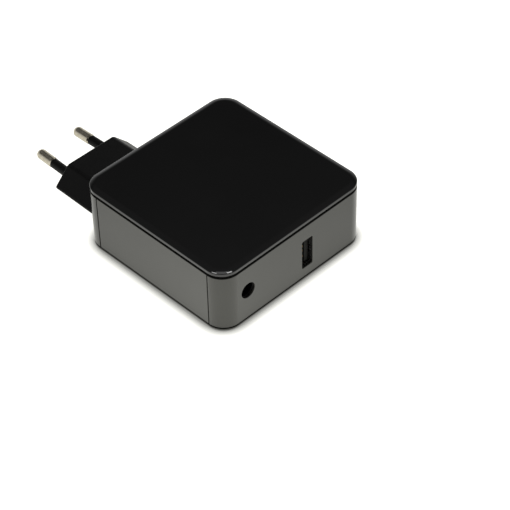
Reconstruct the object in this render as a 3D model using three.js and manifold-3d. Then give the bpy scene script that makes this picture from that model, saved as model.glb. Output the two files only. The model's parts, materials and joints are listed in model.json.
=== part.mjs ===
// A square wall charger with a flat two-pin mains plug at the back, and a USB-A port and a round DC power
// socket in the front face. Millimetres, +Z up. The origin is the centre of the housing's underside, +Y points
// out of the plug and -Y out of the two ports.
import * as THREE from "three";
import { mergeVertices } from "three/addons/utils/BufferGeometryUtils.js";
import Module from "manifold-3d";

const wasm = await Module();
wasm.setup();

// ---------------------------------------------------------------- driving dimensions

const HOUSING = { side: 70, height: 27, corner: 7.2 };
const TRIM_THICKNESS = 1.7; // the bands and side panels
const FRAME_WALL = 1.4; // the black inner frame that the trim clips onto
const TRIM_TO_FRAME = 0.3;
const SEAM = { front: 7.2, rear: 7.7 }; // from the corner, where a band ends and a side panel starts
const SEAM_WIDTH = 0.4;
const SEAT_GAP = 0.05; // between two faces that rest on each other

// Heights of the layers, from the underside up.
const LEVEL = {
  baseTop: 0.85,
  trimBottom: 1.45,
  trimTop: 24.2,
  lidBottom: 25.35,
  boardBottom: 5.0,
  boardTop: 6.6,
};

// The plug keeps the outline of the standard flat European plug: 35.3 x 13.7 mm, pins 18.6 mm apart.
const PLUG = {
  x: -15.7,
  z: 13.0,
  length: 17.5,
  width: 35.3,
  thickness: 13.7,
  edge: 1.0,
  draft: 0.012, // the neck widens by this share of its distance from the front face
};
const PIN = {
  spacing: 18.6,
  tipSpacing: 17.5,
  length: 19,
  bare: 8.5,
  radius: 2.0,
  sleeveRadius: 1.85,
  coreRadius: 1.35,
  tail: 26,
};

const USB = { x: 5.72, z: 11.7, openX: 5.1, openZ: 12.5, wall: 0.3, front: -34.1, length: 14 };
const TONGUE = { fromWall: 0.66, thickness: 1.84, width: 11.1, recess: 0.8, length: 9 };
const CONTACT = { pitch: [-3.5, -1, 1, 3.5], width: 1.0, thickness: 0.25 };
const JACK = { x: -22.95, z: 13.66, bore: 3.1, pin: 1.0, front: -34.1, width: 9, length: 14, above: 4.6 };

const HALF = HOUSING.side / 2;
const FRAME_OUTER = HOUSING.side - 2 * (TRIM_THICKNESS + TRIM_TO_FRAME);
const FRAME_INNER = FRAME_OUTER - 2 * FRAME_WALL;
const RIDGE_OUTER = FRAME_INNER - 0.2;
const RIDGE_WALL = 1.2;
const POSTS = [-28, 28].flatMap((x) => [-12, 12].map((y) => [x, y]));
const QUARTER = Math.PI / 2;

// ---------------------------------------------------------------- materials

const finish = (color, roughness, metalness = 0) =>
  new THREE.MeshStandardMaterial({ color, roughness, metalness });
const MATERIAL = {
  pianoBlack: finish(0x0c0c0c, 0.12),
  caseBlack: finish(0x2b2b28, 0.22),
  blackPlastic: finish(0x0d0d0d, 0.45),
  label: finish(0x2b2c2d, 0.5),
  nickel: finish(0xc9c3b4, 0.22, 1),
  steel: finish(0x9b9da0, 0.3, 1),
  gold: finish(0xd8b25a, 0.25, 1),
  aluminium: finish(0xb9bcbf, 0.4, 1),
  board: finish(0x1f5a36, 0.5),
  ferrite: finish(0x2a2a2c, 0.7),
  copper: finish(0xb06a3a, 0.35, 1),
  yellowTape: finish(0xd9b23c, 0.5),
  epoxy: finish(0x161616, 0.55),
  blueCeramic: finish(0x2b62a6, 0.5),
  greenCeramic: finish(0x3f6b3c, 0.5),
  capSleeve: finish(0x20242c, 0.4),
  film: finish(0xd8d5cc, 0.6),
  redWire: finish(0x7c2a20, 0.45),
  blueWire: finish(0x27407c, 0.45),
};

// ---------------------------------------------------------------- shapes

// A closed three.js geometry as a manifold-3d solid.
function solid(geometry) {
  const bare = geometry.index ? geometry.toNonIndexed() : geometry.clone();
  bare.deleteAttribute("normal");
  bare.deleteAttribute("uv");
  const merged = mergeVertices(bare, 1e-4);
  return new wasm.Manifold(
    new wasm.Mesh({
      numProp: 3,
      vertProperties: merged.attributes.position.array,
      triVerts: new Uint32Array(merged.index.array),
    }),
  );
}

function geometryOf(shape) {
  const mesh = shape.getMesh();
  return new THREE.BufferGeometry()
    .setAttribute("position", new THREE.BufferAttribute(new Float32Array(mesh.vertProperties), 3))
    .setIndex(new THREE.BufferAttribute(new Uint32Array(mesh.triVerts), 1))
    .toNonIndexed();
}

const join = (...shapes) => shapes.reduce((whole, shape) => whole.add(shape));
const cut = (shape, ...tools) => tools.reduce((left, tool) => left.subtract(tool), shape);

// A box between two values on each axis.
function block([x0, x1], [y0, y1], [z0, z1]) {
  const box = new THREE.BoxGeometry(x1 - x0, y1 - y0, z1 - z0);
  return solid(box.translate((x0 + x1) / 2, (y0 + y1) / 2, (z0 + z1) / 2));
}

const around = (centre, size) => [centre - size / 2, centre + size / 2];

function roundedRectangle(width, depth, radius) {
  const x = width / 2 - radius;
  const y = depth / 2 - radius;
  const shape = new THREE.Shape();
  shape.absarc(x, y, radius, 0, QUARTER);
  shape.absarc(-x, y, radius, QUARTER, 2 * QUARTER);
  shape.absarc(-x, -y, radius, 2 * QUARTER, 3 * QUARTER);
  shape.absarc(x, -y, radius, 3 * QUARTER, 4 * QUARTER);
  shape.closePath();
  return shape;
}

// A polygon whose corners are rounded to a radius by short curves.
function roundedPolygon(corners, radius) {
  const shape = new THREE.Shape();
  corners.forEach(([x, y], i) => {
    const here = new THREE.Vector2(x, y);
    const before = new THREE.Vector2(...corners.at(i - 1)).sub(here).setLength(radius).add(here);
    const after = new THREE.Vector2(...corners[(i + 1) % corners.length]).sub(here).setLength(radius).add(here);
    if (i === 0) shape.moveTo(before.x, before.y);
    else shape.lineTo(before.x, before.y);
    shape.quadraticCurveTo(x, y, after.x, after.y);
  });
  shape.closePath();
  return shape;
}

const points = (pairs) => pairs.map(([x, y]) => new THREE.Vector2(x, y));
const polygon = (corners) => new THREE.Shape(points(corners));

// An outline drawn in X and Y, raised from z0 to z1.
function slabZ(outline, z0, z1, curveSegments = 10) {
  const geometry = new THREE.ExtrudeGeometry(outline, { depth: z1 - z0, bevelEnabled: false, curveSegments });
  return solid(geometry.translate(0, 0, z0));
}

// An outline drawn in X and Z, drawn out from y0 to y1.
function slabY(outline, y0, y1, curveSegments = 6) {
  const geometry = new THREE.ExtrudeGeometry(outline, { depth: y1 - y0, bevelEnabled: false, curveSegments });
  return solid(geometry.translate(0, 0, -y1).rotateX(QUARTER));
}

// An outline drawn in Y and Z, drawn out from x0 to x1.
function slabX(outline, x0, x1, curveSegments = 6) {
  const geometry = new THREE.ExtrudeGeometry(outline, { depth: x1 - x0, bevelEnabled: false, curveSegments });
  const turn = new THREE.Matrix4().makeBasis(
    new THREE.Vector3(0, 1, 0),
    new THREE.Vector3(0, 0, 1),
    new THREE.Vector3(1, 0, 0),
  );
  return solid(geometry.applyMatrix4(turn).translate(x0, 0, 0));
}

// A square plate with rounded corners. Its lower or upper edge is a quarter ellipse, inset wide and drop high.
function easedPlate(side, corner, z0, z1, { inset, drop }, eased) {
  const geometry = new THREE.ExtrudeGeometry(roundedRectangle(side, side, corner), {
    depth: z1 - z0,
    bevelThickness: drop,
    bevelSize: inset,
    bevelOffset: -inset,
    bevelSegments: 5,
    curveSegments: 10,
  });
  const start = eased === "lower" ? z0 + drop : z0 - drop;
  return solid(geometry.translate(0, 0, start)).intersect(block([-side, side], [-side, side], [z0, z1]));
}

// A square ring with rounded corners and a wall of even thickness.
function ring(side, corner, wall, z0, z1) {
  const outer = slabZ(roundedRectangle(side, side, corner), z0, z1);
  const inside = side - 2 * wall;
  return outer.subtract(slabZ(roundedRectangle(inside, inside, corner - wall), z0 - 1, z1 + 1));
}

function cylinderZ(radius, x, y, z0, z1, sides = 16) {
  const geometry = new THREE.CylinderGeometry(radius, radius, z1 - z0, sides);
  return solid(geometry.rotateX(QUARTER).translate(x, y, (z0 + z1) / 2));
}

function cylinderY(radius, x, z, y0, y1, sides = 20) {
  const geometry = new THREE.CylinderGeometry(radius, radius, y1 - y0, sides);
  return solid(geometry.translate(x, (y0 + y1) / 2, z));
}

function cylinderX(radius, y, z, x0, x1, sides = 20) {
  const geometry = new THREE.CylinderGeometry(radius, radius, x1 - x0, sides);
  return solid(geometry.rotateZ(QUARTER).translate((x0 + x1) / 2, y, z));
}

// A turned shape about +Y, from [radius, y] points that rise along the axis.
const turned = (profile, sides = 20) => solid(new THREE.LatheGeometry(points(profile), sides));

function part(name, shape, material, [x, y, z] = [0, 0, 0]) {
  const mesh = new THREE.Mesh(geometryOf(shape), material);
  mesh.name = name;
  mesh.position.set(x, y, z);
  return mesh;
}

function group(position, ...children) {
  const made = new THREE.Group();
  made.position.set(...position);
  made.add(...children);
  return made;
}

// ---------------------------------------------------------------- housing

const LABEL = { x: 0, y: 16, width: 50, depth: 22, recess: 0.3, thickness: 0.2, clearance: 0.2 };

// The underside: an eased plate with a ridge inside the frame, posts under the board, and a label recess.
function bottomCover() {
  const edge = { inset: 0.4, drop: 0.4 };
  const plate = easedPlate(HOUSING.side, HOUSING.corner, 0, LEVEL.baseTop, edge, "lower");
  const ridge = ring(RIDGE_OUTER, 3.7, RIDGE_WALL, LEVEL.baseTop - 0.2, 3.2);
  const posts = POSTS.map(([x, y]) => cylinderZ(2.5, x, y, LEVEL.baseTop - 0.2, LEVEL.boardBottom - SEAT_GAP));
  const ribs = [-18, 0, 18].map((x) => block(around(x, 1.2), [-30.8, 30.8], [LEVEL.baseTop - 0.2, 2.4]));
  const recess = slabZ(roundedRectangle(LABEL.width, LABEL.depth, 2), -1, LABEL.recess, 4);
  return cut(join(plate, ridge, ...posts, ...ribs), recess.translate([LABEL.x, LABEL.y, 0]));
}

// The glossy lid: its upper face falls away towards the edge, and its posts press the board down.
function topCover() {
  const edge = { inset: 2.4, drop: 0.82 };
  const plate = easedPlate(HOUSING.side, HOUSING.corner, LEVEL.lidBottom, HOUSING.height, edge, "upper");
  const ridge = ring(RIDGE_OUTER, 3.7, RIDGE_WALL, 23.4, LEVEL.lidBottom + 0.2);
  const posts = POSTS.map(([x, y]) => cylinderZ(2.2, x, y, LEVEL.boardTop + SEAT_GAP, LEVEL.lidBottom + 0.2));
  return join(plate, ridge, ...posts);
}

// The port openings as tools: the hole through the trim, and the pocket behind it that the connector enters.
function usbOpening(growth, y0, y1) {
  const outline = roundedRectangle(USB.openX + growth, USB.openZ + growth, 0.5);
  return slabY(outline, y0, y1, 3).translate([USB.x, 0, USB.z]);
}

const jackHole = (radius, y0, y1) => cylinderY(radius, JACK.x, JACK.z, y0, y1, 32);

// A rectangle around the jack's block, which is deeper below its axis than above.
function jackPocket(growth, y0, y1) {
  const top = JACK.z + JACK.above + growth;
  return block(around(JACK.x, JACK.width + 2 * growth), [y0, y1], [LEVEL.boardTop - growth, top]);
}

// The hexagonal outline of the neck, with 45 degree flanks.
function neckOutline(growth = 0) {
  const half = PLUG.thickness / 2 + growth;
  const tip = PLUG.width / 2 + growth;
  const flat = PLUG.width / 2 - PLUG.thickness / 2 + growth * Math.tan(QUARTER / 4);
  const corners = [
    [tip, 0],
    [flat, half],
    [-flat, half],
    [-tip, 0],
    [-flat, -half],
    [flat, -half],
  ];
  return roundedPolygon(corners, PLUG.edge);
}

const trimRing = () =>
  ring(HOUSING.side, HOUSING.corner, TRIM_THICKNESS, LEVEL.trimBottom, LEVEL.trimTop);
const FRONT_END = -HALF + SEAM.front;
const REAR_END = HALF - SEAM.rear;
const beyondSide = [-HALF - 1, HALF + 1];

// The band round the front face and both front corners.
function frontBand() {
  const span = [-HALF - 1, FRONT_END - SEAM_WIDTH / 2];
  return cut(
    trimRing().intersect(block(beyondSide, span, [0, HOUSING.height])),
    usbOpening(0, -HALF - 1, 0),
    usbOpening(2 * USB.wall + 0.3, USB.front - 0.1, 0),
    jackHole(JACK.bore, -HALF - 1, 0),
    jackPocket(0.2, JACK.front - 0.1, 0),
  );
}

// The band round the back face, open where the neck comes through.
function rearBand() {
  const span = [REAR_END + SEAM_WIDTH / 2, HALF + 1];
  const opening = slabY(neckOutline(0.35), 20, HALF + 5, 3).translate([PLUG.x, 0, PLUG.z]);
  return trimRing().intersect(block(beyondSide, span, [0, HOUSING.height])).subtract(opening);
}

// A flat panel between the two bands, on one side.
function sidePanel(side) {
  const x = [HALF - TRIM_THICKNESS, HALF].map((value) => side * value).sort((a, b) => a - b);
  return block(x, [FRONT_END + SEAM_WIDTH / 2, REAR_END - SEAM_WIDTH / 2], [LEVEL.trimBottom, LEVEL.trimTop]);
}

// The part of the neck that passes through the frame's back wall.
const NECK_ROOT = { width: 26, height: 10.4, inner: 29.5 };

function innerFrame() {
  const frame = ring(FRAME_OUTER, 5.2, FRAME_WALL, LEVEL.baseTop + SEAT_GAP, LEVEL.lidBottom - SEAT_GAP);
  const rootHole = roundedRectangle(NECK_ROOT.width + 0.4, NECK_ROOT.height + 0.4, 1.5);
  return cut(
    frame,
    usbOpening(2 * USB.wall + 0.3, -HALF, -20),
    jackPocket(0.2, -HALF, -20),
    slabY(rootHole, 20, HALF, 3).translate([PLUG.x, 0, PLUG.z]),
  );
}

const ratingLabel = () => {
  const width = LABEL.width - 2 * LABEL.clearance;
  const depth = LABEL.depth - 2 * LABEL.clearance;
  const ceiling = LABEL.recess - SEAT_GAP;
  return slabZ(roundedRectangle(width, depth, 1.8), ceiling - LABEL.thickness, ceiling, 4);
};

// ---------------------------------------------------------------- plug

const PLUG_FRONT = HALF + PLUG.length;
const PIN_TILT = Math.atan2((PIN.spacing - PIN.tipSpacing) / 2, PIN.length);

// The pin's shape in its own frame: y is 0 at the neck's front face, and it points along +Y.
function pinBody() {
  const shoulder = PIN.length - PIN.bare;
  const nose = [0, 1, 2, 3, 4].map((i) => {
    const angle = (i / 4) * QUARTER;
    return [PIN.radius * Math.cos(angle), PIN.length - PIN.radius * (1 - Math.sin(angle))];
  });
  nose[4][0] = 0;
  const shank = [
    [0, -PIN.tail],
    [PIN.coreRadius, -PIN.tail],
    [PIN.coreRadius, shoulder],
    [PIN.radius, shoulder],
  ];
  return turned([...shank, ...nose]);
}

function pinSleeve() {
  const inner = PIN.coreRadius + 0.08;
  const top = PIN.length - PIN.bare - 0.06;
  const bottom = -5;
  return turned([
    [inner, bottom],
    [PIN.sleeveRadius, bottom],
    [PIN.sleeveRadius, top],
    [inner, top],
    [inner, bottom],
  ]);
}

function placePin(mesh, side) {
  mesh.position.set(PLUG.x + (side * PIN.spacing) / 2, PLUG_FRONT, PLUG.z);
  mesh.rotation.z = side * PIN_TILT;
  return mesh;
}

// The tool that leaves room for one pin in the neck, a little wider than the sleeve and the shank.
function pinRoom(side) {
  const mesh = placePin(new THREE.Mesh(), side);
  mesh.updateMatrix();
  const sleeve = PIN.sleeveRadius + 0.1;
  const shank = PIN.coreRadius + 0.1;
  const room = [[0, -40], [shank, -40], [shank, -5.1], [sleeve, -5.1], [sleeve, 5], [0, 5]];
  return solid(new THREE.LatheGeometry(points(room), 20).applyMatrix4(mesh.matrix));
}

// The neck: a hexagonal prism that widens slightly towards the housing, shaped at its foot to the frame.
function plugNeck() {
  const foot = 27;
  const length = PLUG_FRONT - foot;
  const geometry = new THREE.ExtrudeGeometry(neckOutline(), {
    depth: length - 1.2,
    steps: 1,
    bevelThickness: 0.6,
    bevelSize: 0.6,
    bevelOffset: -0.6,
    bevelSegments: 2,
    curveSegments: 3,
  });
  geometry.translate(0, 0, 0.6 - length).rotateX(QUARTER);
  const position = geometry.attributes.position;
  for (let i = 0; i < position.count; i++) {
    const widen = 1 + (PLUG.draft * (length - position.getY(i))) / PLUG.length;
    position.setXYZ(i, position.getX(i) * widen, position.getY(i), position.getZ(i) * widen);
  }
  const prism = solid(geometry.translate(PLUG.x, foot, PLUG.z));
  const clear = FRAME_OUTER + 0.3;
  const frameSpace = slabZ(roundedRectangle(clear, clear, 5.35), -1, HOUSING.height + 1);
  const rootOutline = roundedRectangle(NECK_ROOT.width, NECK_ROOT.height, 1.3);
  const root = slabY(rootOutline, NECK_ROOT.inner, HALF, 3).translate([PLUG.x, 0, PLUG.z]);
  return cut(join(prism.subtract(frameSpace), root), pinRoom(-1), pinRoom(1));
}

// A short insulated lead from the tail of a pin down to the board.
function lead(side, landing) {
  const tail = PLUG.x + (side * PIN.spacing) / 2 + side * Math.sin(PIN_TILT) * PIN.tail;
  const start = PLUG_FRONT - PIN.tail - 0.3;
  const route = new THREE.CatmullRomCurve3(
    [
      [tail, start, PLUG.z],
      [tail, start - 1.6, PLUG.z - 0.2],
      [(tail + landing[0]) / 2, landing[1] + 0.6, PLUG.z - 3],
      [landing[0], landing[1], LEVEL.boardTop + 2],
      [landing[0], landing[1], LEVEL.boardTop + SEAT_GAP],
    ].map((point) => new THREE.Vector3(...point)),
  );
  const section = new THREE.Shape().absarc(0, 0, 0.8, 0, 2 * Math.PI);
  return solid(new THREE.ExtrudeGeometry(section, { steps: 12, extrudePath: route, curveSegments: 4 }));
}

function plug() {
  const pins = [["live", -1], ["neutral", 1]].flatMap(([name, side]) => [
    placePin(part(`${name}_pin`, pinBody(), MATERIAL.nickel), side),
    placePin(part(`${name}_pin_sleeve`, pinSleeve(), MATERIAL.blackPlastic), side),
  ]);
  return [
    part("plug_neck", plugNeck(), MATERIAL.blackPlastic),
    ...pins,
    part("live_lead", lead(-1, [-26.5, 22.8]), MATERIAL.redWire),
    part("neutral_lead", lead(1, [-2.2, 22]), MATERIAL.blueWire),
  ];
}

// ---------------------------------------------------------------- USB port

// In the port's own frame: the origin is the middle of the shell's mouth, +Y points inwards.
const TONGUE_LEFT = USB.openX / 2 - TONGUE.fromWall - TONGUE.thickness;
const TONGUE_RIGHT = TONGUE_LEFT + TONGUE.thickness;
const TONGUE_END = TONGUE.recess + TONGUE.length;
const CONTACT_ROOT = 1.2; // how far a contact's root lies behind the end of the tongue's free stretch
const CONTACT_FACE = TONGUE_LEFT + 0.12;
const CONTACT_FLOOR = TONGUE_LEFT + 1.35; // the floor of the groove that a contact lies in

// The folded sheet shell: a rectangular tube, closed behind, with two inward springs in each wide wall.
function usbShell() {
  const outerX = USB.openX + 2 * USB.wall;
  const outerZ = USB.openZ + 2 * USB.wall;
  const tube = cut(
    slabY(roundedRectangle(outerX, outerZ, 0.7), 0, USB.length, 3),
    slabY(roundedRectangle(USB.openX, USB.openZ, 0.4), -1, USB.length - USB.wall, 3),
  );
  const windows = [];
  const springs = [];
  for (const side of [-1, 1]) {
    const wall = side * (USB.openX / 2 + USB.wall / 2);
    for (const z of [-3, 3]) {
      windows.push(block(around(wall, 1), [2.2, 8.0], around(z, 2.6)));
      const strip = polygon([
        [wall - 0.12, 8.2],
        [wall - side * 0.42 - 0.12, 3.4],
        [wall - 0.12, 2.6],
        [wall + 0.12, 2.6],
        [wall - side * 0.42 + 0.12, 3.4],
        [wall + 0.12, 8.2],
      ]);
      springs.push(slabZ(strip, z - 0.9, z + 0.9));
    }
  }
  return join(cut(tube, ...windows), ...springs);
}

// The moulded insulator: a block at the back of the shell and the tongue that carries the contacts.
function usbInsulator() {
  const margin = 0.2;
  const back = block(
    [-USB.openX / 2 + margin, USB.openX / 2 - margin],
    [TONGUE_END, USB.length - USB.wall - margin],
    around(0, USB.openZ - 2 * margin),
  );
  const tongue = block([TONGUE_LEFT, TONGUE_RIGHT], [TONGUE.recess, TONGUE_END + 0.5], around(0, TONGUE.width));
  const slots = CONTACT.pitch.map((z) =>
    block([TONGUE_LEFT - 3, CONTACT_FLOOR], [TONGUE.recess + 0.7, TONGUE_END + 2.2], around(z, 1.4)),
  );
  return cut(join(back, tongue), ...slots);
}

// A sprung contact: a thin strip along the tongue with a rounded bump near its free end.
function usbContact() {
  const t = CONTACT.thickness;
  const free = TONGUE.recess + 1.0;
  const root = TONGUE_END + CONTACT_ROOT;
  const bump = 0.45;
  const line = [
    [CONTACT_FACE + 0.35, free],
    [CONTACT_FACE - bump, free + 1.5],
    [CONTACT_FACE - bump, free + 1.9],
    [CONTACT_FACE, free + 3.6],
    [CONTACT_FACE, root + t],
  ];
  const rooted = [
    [CONTACT_FLOOR - SEAT_GAP, root + t],
    [CONTACT_FLOOR - SEAT_GAP, root],
    [CONTACT_FACE + t, root],
  ];
  const underside = line.slice(0, -1).map(([x, y]) => [x + t, y]);
  return slabZ(polygon([...line, ...rooted, ...underside.reverse()]), ...around(0, CONTACT.width));
}

const USB_BOARD = { x: -4.35, thickness: 1.2, front: 2.9, back: 24, bottom: 6.65, top: 22 };

function usbPort() {
  const contacts = CONTACT.pitch.map((z, i) =>
    part(`usb_contact_${i + 1}`, usbContact(), MATERIAL.gold, [0, 0, z]),
  );
  const boardX = [USB_BOARD.x, USB_BOARD.x + USB_BOARD.thickness];
  const boardZ = [USB_BOARD.bottom - USB.z, USB_BOARD.top - USB.z];
  const partX = boardX[1] + SEAT_GAP;
  const coil = join(
    block([partX, partX + 1], [15.4, 22.2], [-3.4, 3.4]),
    slabX(roundedRectangle(6.6, 6.6, 1.4), partX + 0.5, partX + 3, 3).translate([0, 18.8, 0]),
  );
  const can = cylinderX(3.1, 18.8, 7.1, partX, partX + 5.4, 18);
  const chip = block([boardX[0] - 1.5, boardX[0] - SEAT_GAP], [15, 19], [-2.5, 2.5]);
  return group(
    [USB.x, USB.front, USB.z],
    part("usb_shell", usbShell(), MATERIAL.steel),
    part("usb_insulator", usbInsulator(), MATERIAL.blackPlastic),
    ...contacts,
    part("usb_board", block(boardX, [USB_BOARD.front, USB_BOARD.back], boardZ), MATERIAL.board),
    part("usb_inductor", coil, MATERIAL.ferrite),
    part("usb_capacitor", can, MATERIAL.capSleeve),
    part("usb_regulator_chip", chip, MATERIAL.epoxy),
  );
}

// ---------------------------------------------------------------- DC power socket

// In the socket's own frame: the origin is on the axis at the front face, +Y points inwards.
const JACK_FLOOR = LEVEL.boardTop + SEAT_GAP - JACK.z;
const BORE_DEPTH = 10.5;
const SPRING = { width: 2.4, thickness: 0.35, root: 10.2, tip: 2.6, lift: 0.55, floor: -5.3 };

function jackBody() {
  const shell = block(around(0, JACK.width), [0, JACK.length], [JACK_FLOOR, JACK.above]);
  const slot = block(around(0, SPRING.width + 0.5), [1.6, BORE_DEPTH + 1.2], [SPRING.floor, -1]);
  const pinHole = cylinderY(JACK.pin + 0.05, 0, 0, BORE_DEPTH - 1, JACK.length + 1, 16);
  return cut(shell, cylinderY(JACK.bore, 0, 0, -1, BORE_DEPTH, 32), slot, pinHole);
}

const jackPin = () => {
  const tip = 1.6;
  const end = JACK.length + 1.2;
  return turned([[0, tip], [JACK.pin * 0.55, tip], [JACK.pin, tip + 0.5], [JACK.pin, end], [0, end]], 16);
};

// The leaf that presses on the barrel of a plug: it lies in the slot under the bore and bows up into it.
function jackSpring() {
  const low = -JACK.bore - 0.45;
  const line = [
    [SPRING.tip, low],
    [SPRING.tip + 2.2, low + SPRING.lift + 0.45],
    [SPRING.tip + 3.2, low + SPRING.lift + 0.45],
    [SPRING.root, low],
    [SPRING.root + 1, low],
  ];
  const t = SPRING.thickness;
  const rooted = [
    [SPRING.root + 1, SPRING.floor + SEAT_GAP],
    [SPRING.root + 1 - t, SPRING.floor + SEAT_GAP],
  ];
  const underside = [...line.slice(0, -1), [SPRING.root + 1 - t, low]].map(([y, z]) => [y, z - t]);
  return slabX(polygon([...line, ...rooted, ...underside.reverse()]), ...around(0, SPRING.width));
}

const dcJack = () =>
  group(
    [JACK.x, JACK.front, JACK.z],
    part("dc_jack_body", jackBody(), MATERIAL.blackPlastic),
    part("dc_jack_centre_pin", jackPin(), MATERIAL.nickel),
    part("dc_jack_spring", jackSpring(), MATERIAL.nickel),
  );

// ---------------------------------------------------------------- main board

// Everything on the board is drawn from the board's upper face, at z = 0, about its own place.
const foot = SEAT_GAP;

function legs(places, z1, radius = 0.4) {
  return places.map(([x, y]) => cylinderZ(radius, x, y, foot, z1, 6));
}

const bodyBox = (width, depth, z0, height) => block(around(0, width), around(0, depth), [z0, height]);

// A disc part that stands on two legs, with its flat faces along X.
const standingDisc = (radius, thickness) =>
  join(
    cylinderX(radius, 0, 2 + radius, ...around(0, thickness), 20),
    ...legs([[0, -radius * 0.6], [0, radius * 0.6]], 3 + radius),
  );

// A can with a rolled groove near its base.
function standingCan(radius, height) {
  const profile = [
    [0, foot],
    [radius, foot],
    [radius, 1.4],
    [radius - 0.35, 1.9],
    [radius, 2.4],
    [radius, height - 0.4],
    [radius - 0.4, height],
    [0, height],
  ];
  return solid(new THREE.LatheGeometry(points(profile), 20).rotateX(QUARTER));
}

// The large mains capacitor lies on its side, because the housing is too low for it to stand.
function lyingCan(radius, length) {
  const half = length / 2;
  const profile = [
    [0, -half],
    [radius - 0.5, -half],
    [radius, -half + 0.5],
    [radius, half - 3.4],
    [radius - 0.5, half - 2.6],
    [radius, half - 1.8],
    [radius, half - 0.5],
    [radius - 0.5, half],
    [0, half],
  ];
  const geometry = new THREE.LatheGeometry(points(profile), 28);
  return solid(geometry.rotateZ(-QUARTER).translate(0, 0, radius + foot));
}

// A TO-220 transistor standing with its tab against a heatsink on its +Y side.
function tabTransistor() {
  const body = block(around(0, 10), [-4.4, -1.3], [3.2, 10.8]);
  const tab = block(around(0, 10), [-1.6, -SEAT_GAP], [3.2, 15.2]);
  const pinLegs = legs([[-2.54, -2.8], [0, -2.8], [2.54, -2.8]], 4, 0.45);
  return cut(join(body, tab, ...pinLegs), cylinderY(1.8, 0, 13.6, -3, 1, 16));
}

// A heatsink plate on the transistor's +Y side, with fins turned up at its ends.
function heatsink(width, height, thickness = 1.6) {
  const plate = block(around(0, width), [SEAT_GAP, thickness], [foot, height]);
  const wings = [-1, 1].map((side) => {
    const edge = (side * width) / 2;
    const x = [edge, edge - side * 1.4].sort((a, b) => a - b);
    return block(x, [-3.6, thickness], [foot + 2, height]);
  });
  return cut(join(plate, ...wings), cylinderY(1.3, 0, 13.6, -1, thickness + 1, 16));
}

// A pan-head screw that holds the transistor's tab to the heatsink.
function heatsinkScrew() {
  const head = [[0, -3.4], [2.3, -3.4], [2.6, -2.9], [2.6, -1.7]];
  const shank = [[1.15, -1.7], [1.15, 2.6], [0.7, 3.1], [0, 3.1]];
  const slot = block(around(0, 4), [-4, -2.8], around(0, 0.7));
  return cut(turned([...head, ...shank], 16), slot);
}

// The transformer: two core halves that meet in the middle, round a wound and taped bobbin.
const CORE = { width: 25, depth: 12.5, height: 16, wall: 4, join: 8 };

function coreHalf(z0, z1, closedAt) {
  const legsOf = [
    block([-CORE.width / 2, -CORE.width / 2 + CORE.wall], around(0, CORE.depth), [z0, z1]),
    block([CORE.width / 2 - CORE.wall, CORE.width / 2], around(0, CORE.depth), [z0, z1]),
    cylinderZ(4, 0, 0, z0, z1, 20),
  ];
  const back = closedAt === "top" ? [z1 - 3, z1] : [z0, z0 + 3];
  return join(block(around(0, CORE.width), around(0, CORE.depth), back), ...legsOf);
}

function transformerWinding() {
  const coil = cut(
    slabZ(roundedRectangle(16.4, 21, 7.5), 3.3, CORE.height - 3.3, 5),
    cylinderZ(4.3, 0, 0, 0, CORE.height, 20),
  );
  const feet = [-1, 1].map((side) => {
    const bar = block(around(0, 16), around(side * 9.4, 3), [0.8, 3.6]);
    return join(bar, ...legs([-6, -2, 2, 6].map((x) => [x, side * 9.4]), 1.2));
  });
  return join(coil, ...feet);
}

// The mains choke: a closed ferrite ring with two windings in one bobbin.
function chokeCore() {
  const outline = block(around(0, 14), around(0, 4.2), [2.2, 14.6]);
  return outline.subtract(block(around(0, 7.6), around(0, 6), [5.4, 11.4]));
}

function chokeWinding() {
  const bobbin = join(
    block(around(0, 7), around(0, 11), [1, 5.0]),
    block(around(0, 7), around(0, 11), [11.8, 15.8]),
    block([-3.5, 3.5], [2.5, 5.5], [4.5, 12]),
    block([-3.5, 3.5], [-5.5, -2.5], [4.5, 12]),
    ...legs([-2.4, 2.4].flatMap((x) => [-4, 4].map((y) => [x, y])), 1.4),
  );
  return bobbin.subtract(block(around(0, 14.6), around(0, 4.8), [1.9, 14.9]));
}

const chip = (width, depth, height, rows) =>
  join(
    bodyBox(width, depth, 0.25, height),
    ...rows.flatMap((x) =>
      [-1, 1].map((side) => block(around(x, 0.5), around(side * (depth / 2 + 0.5), 1.4), [foot, 0.6])),
    ),
  );

function mainBoard() {
  const plate = slabZ(roundedRectangle(60.2, 60.2, 3), LEVEL.boardBottom - LEVEL.boardTop, 0, 3);
  const width = USB.openX + 2 * USB.wall + 0.8;
  const notch = block(around(USB.x, width), [-HALF, USB.front + USB.length + 0.4], [-5, 5]);
  return part("main_board", plate.subtract(notch), MATERIAL.board);
}

function bridgeRectifier() {
  return join(
    block(around(0, 3.4), around(0, 14), [3, 13.5]),
    ...legs([-5, -1.7, 1.7, 5].map((y) => [0, y]), 3.5, 0.45),
  );
}

const radialBox = (width, depth, height, pitch) =>
  join(bodyBox(width, depth, 0.5, height), ...legs([[-pitch / 2, 0], [pitch / 2, 0]], 1, 0.35));

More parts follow.
